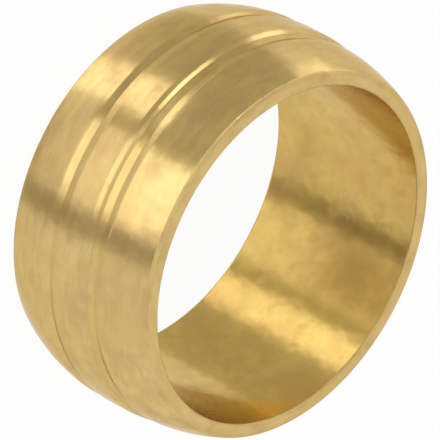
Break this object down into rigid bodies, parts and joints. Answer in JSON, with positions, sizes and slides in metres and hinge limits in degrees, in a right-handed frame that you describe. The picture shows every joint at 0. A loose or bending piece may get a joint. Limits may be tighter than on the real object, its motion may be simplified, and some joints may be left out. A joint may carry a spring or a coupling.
{
  "type": "compression olive",
  "caption": "Turned brass ring with domed ends, a grooved crowned middle and a bore that opens slightly towards one end, squeezed onto a tube to seal a compression fitting.",
  "frame": {"origin": "centre of the bore at the lower end face, on which the ring stands", "axes": "+Z along the bore, towards the end face that the picture shows"},
  "size_m": [0.0182, 0.0182, 0.0084],
  "materials": {
    "brass": "turned, satin, with fine turning lines"
  },
  "bodies": {
    "root": {"olive": "brass"}
  },
  "joints": []
}
